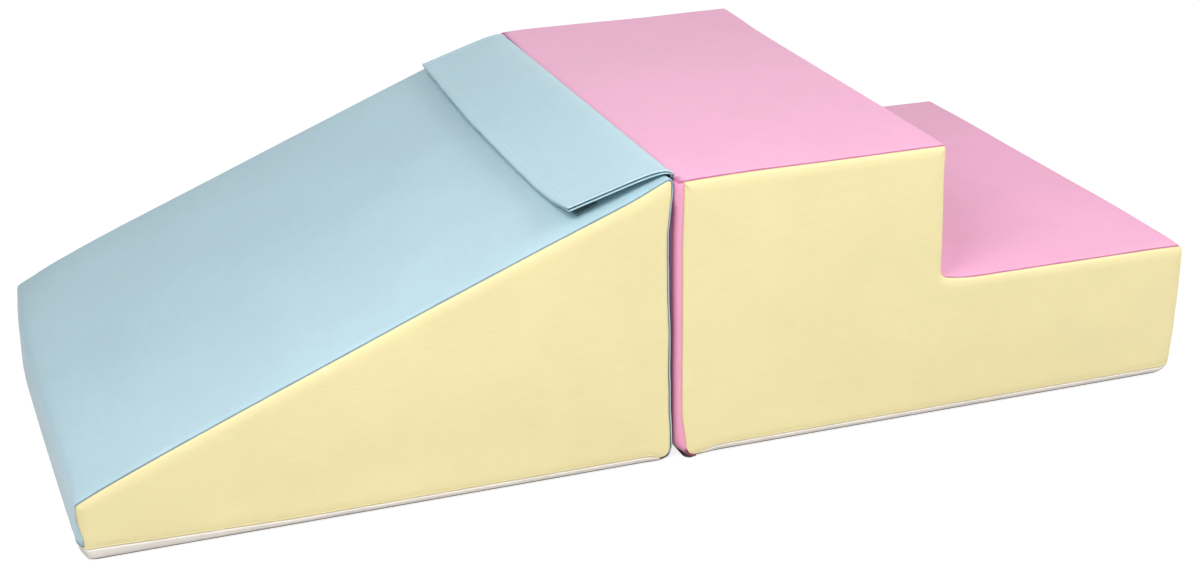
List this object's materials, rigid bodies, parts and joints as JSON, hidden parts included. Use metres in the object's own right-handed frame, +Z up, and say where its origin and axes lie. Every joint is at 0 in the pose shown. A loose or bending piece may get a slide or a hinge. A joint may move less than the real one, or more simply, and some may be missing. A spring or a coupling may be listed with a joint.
{
  "type": "soft play foam climber",
  "caption": "Two upholstered foam blocks for toddlers, a ramp wedge and a platform with a step, joined end to end by a fabric flap over the joint.",
  "frame": {"origin": "on the floor, under the middle of the set's length and width", "axes": "+X from the toe of the ramp to the far end of the step, +Y from the near side in the picture to the far side, +Z up"},
  "size_m": [1.172, 0.57, 0.3047],
  "materials": {
    "block_foam": "polyurethane foam, cut",
    "blue_cover": "fine-grained synthetic leather, satin",
    "pink_cover": "fine-grained synthetic leather, satin",
    "yellow_cover": "fine-grained synthetic leather, satin",
    "base_cloth": "non-slip base cloth, matt",
    "zip_tape": "woven tape with a moulded coil",
    "zip_slider": "satin, plated",
    "hook_and_loop": "napped strip"
  },
  "bodies": {
    "slide_block": {"slide_foam_core": "block_foam", "slide_ramp_cover": "blue_cover", "slide_near_side_panel": "yellow_cover", "slide_far_side_panel": "yellow_cover", "slide_base_panel": "base_cloth", "slide_base_zip_strip": "base_cloth", "slide_zip_tape_main": "zip_tape", "slide_zip_tape_strip": "zip_tape", "slide_ramp_loop_strip": "hook_and_loop"},
    "slide_zip_slider": {"slide_zip_slider": "zip_slider"},
    "step_block": {"step_foam_lower_slab": "block_foam", "step_foam_upper_block": "block_foam", "step_joint_panel": "pink_cover", "step_tread_cover": "pink_cover", "step_near_side_panel": "yellow_cover", "step_far_side_panel": "yellow_cover", "step_base_panel": "base_cloth", "step_base_zip_strip": "base_cloth", "step_zip_tape_main": "zip_tape", "step_zip_tape_strip": "zip_tape"},
    "step_zip_slider": {"step_zip_slider": "zip_slider"},
    "flap": {"flap_outer_ply": "blue_cover", "flap_inner_ply": "blue_cover", "flap_hook_strip": "hook_and_loop"}
  },
  "joints": [
    {"name": "step_block_pull", "type": "slide", "parent": "slide_block", "child": "step_block", "axis": [0.9276, 0, 0.3736], "range_m": [0, 0.3]},
    {"name": "flap_fold", "type": "hinge", "parent": "step_block", "child": "flap", "pos_m": [0.0025, 0, 0.30135], "axis": [0, 1, 0], "range_deg": [0, 150]},
    {"name": "slide_zip_run", "type": "slide", "parent": "slide_block", "child": "slide_zip_slider", "axis": [1, 0, 0], "range_m": [0, 0.416]},
    {"name": "step_zip_run", "type": "slide", "parent": "step_block", "child": "step_zip_slider", "axis": [1, 0, 0], "range_m": [0, 0.416]}
  ]
}
